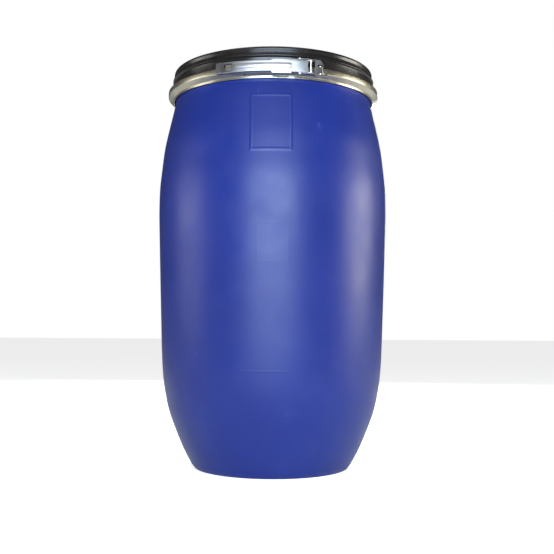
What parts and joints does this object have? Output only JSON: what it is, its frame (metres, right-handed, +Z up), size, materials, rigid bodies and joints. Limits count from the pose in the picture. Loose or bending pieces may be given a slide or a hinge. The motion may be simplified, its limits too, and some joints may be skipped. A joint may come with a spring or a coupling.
{
  "type": "plastic open head drum",
  "caption": "Barrel-shaped plastic drum with a removable plug lid, held by a split clamp ring with an over-centre lever closure.",
  "frame": {"origin": "on the drum's axis, at the floor it stands on", "axes": "+Z up along the drum's axis, the lever closure faces -Y"},
  "size_m": [0.5738, 0.574, 0.992],
  "materials": {
    "blue_hdpe": "semi-gloss blow-moulded",
    "black_hdpe": "satin moulded",
    "gasket_rubber": "foam rubber",
    "zinc_band": "bright galvanised",
    "zinc_lever": "bright zinc plated",
    "zinc_small": "zinc plated"
  },
  "bodies": {
    "drum": {"drum_body": "blue_hdpe"},
    "lid": {"lid": "black_hdpe", "lid_gasket": "gasket_rubber"},
    "ring": {"clamp_band": "zinc_band", "hinge_bracket": "zinc_small", "bracket_rivets": "zinc_small", "lever_pivot_pin": "zinc_small", "lever_catch": "zinc_small", "catch_rivet": "zinc_small"},
    "ring_end": {"anchor_bracket": "zinc_small", "anchor_rivet": "zinc_small"},
    "lever": {"lever": "zinc_lever", "link_rivet_upper": "zinc_small", "link_rivet_lower": "zinc_small"},
    "link": {"link": "zinc_lever", "anchor_pin": "zinc_small"}
  },
  "joints": [
    {"name": "lid_lift", "type": "slide", "parent": "drum", "child": "lid", "axis": [0, 0, 1], "range_m": [0, 0.3]},
    {"name": "ring_lift", "type": "slide", "parent": "lid", "child": "ring", "axis": [0, 0, 1], "range_m": [0, 0.15]},
    {"name": "lever_swing", "type": "hinge", "parent": "ring", "child": "lever", "pos_m": [0.08446, -0.26013, 0.939], "axis": [0, 0, 1], "range_deg": [0, 150]},
    {"name": "link_swing", "type": "hinge", "parent": "lever", "child": "link", "pos_m": [0.059, -0.26552, 0.939], "axis": [0, 0, 1], "range_deg": [-137, 0]},
    {"name": "band_spring", "type": "hinge", "parent": "ring", "child": "ring_end", "pos_m": [0.0385, 0.25916, 0.9375], "axis": [0, 0, 1], "range_deg": [0, 5.2], "deforming": ["clamp_band"]}
  ],
  "couplings": [
    {"joint": "link_swing", "follows": "lever_swing", "ratio": -0.90867},
    {"joint": "band_spring", "follows": "lever_swing", "ratio": 0.03429}
  ]
}
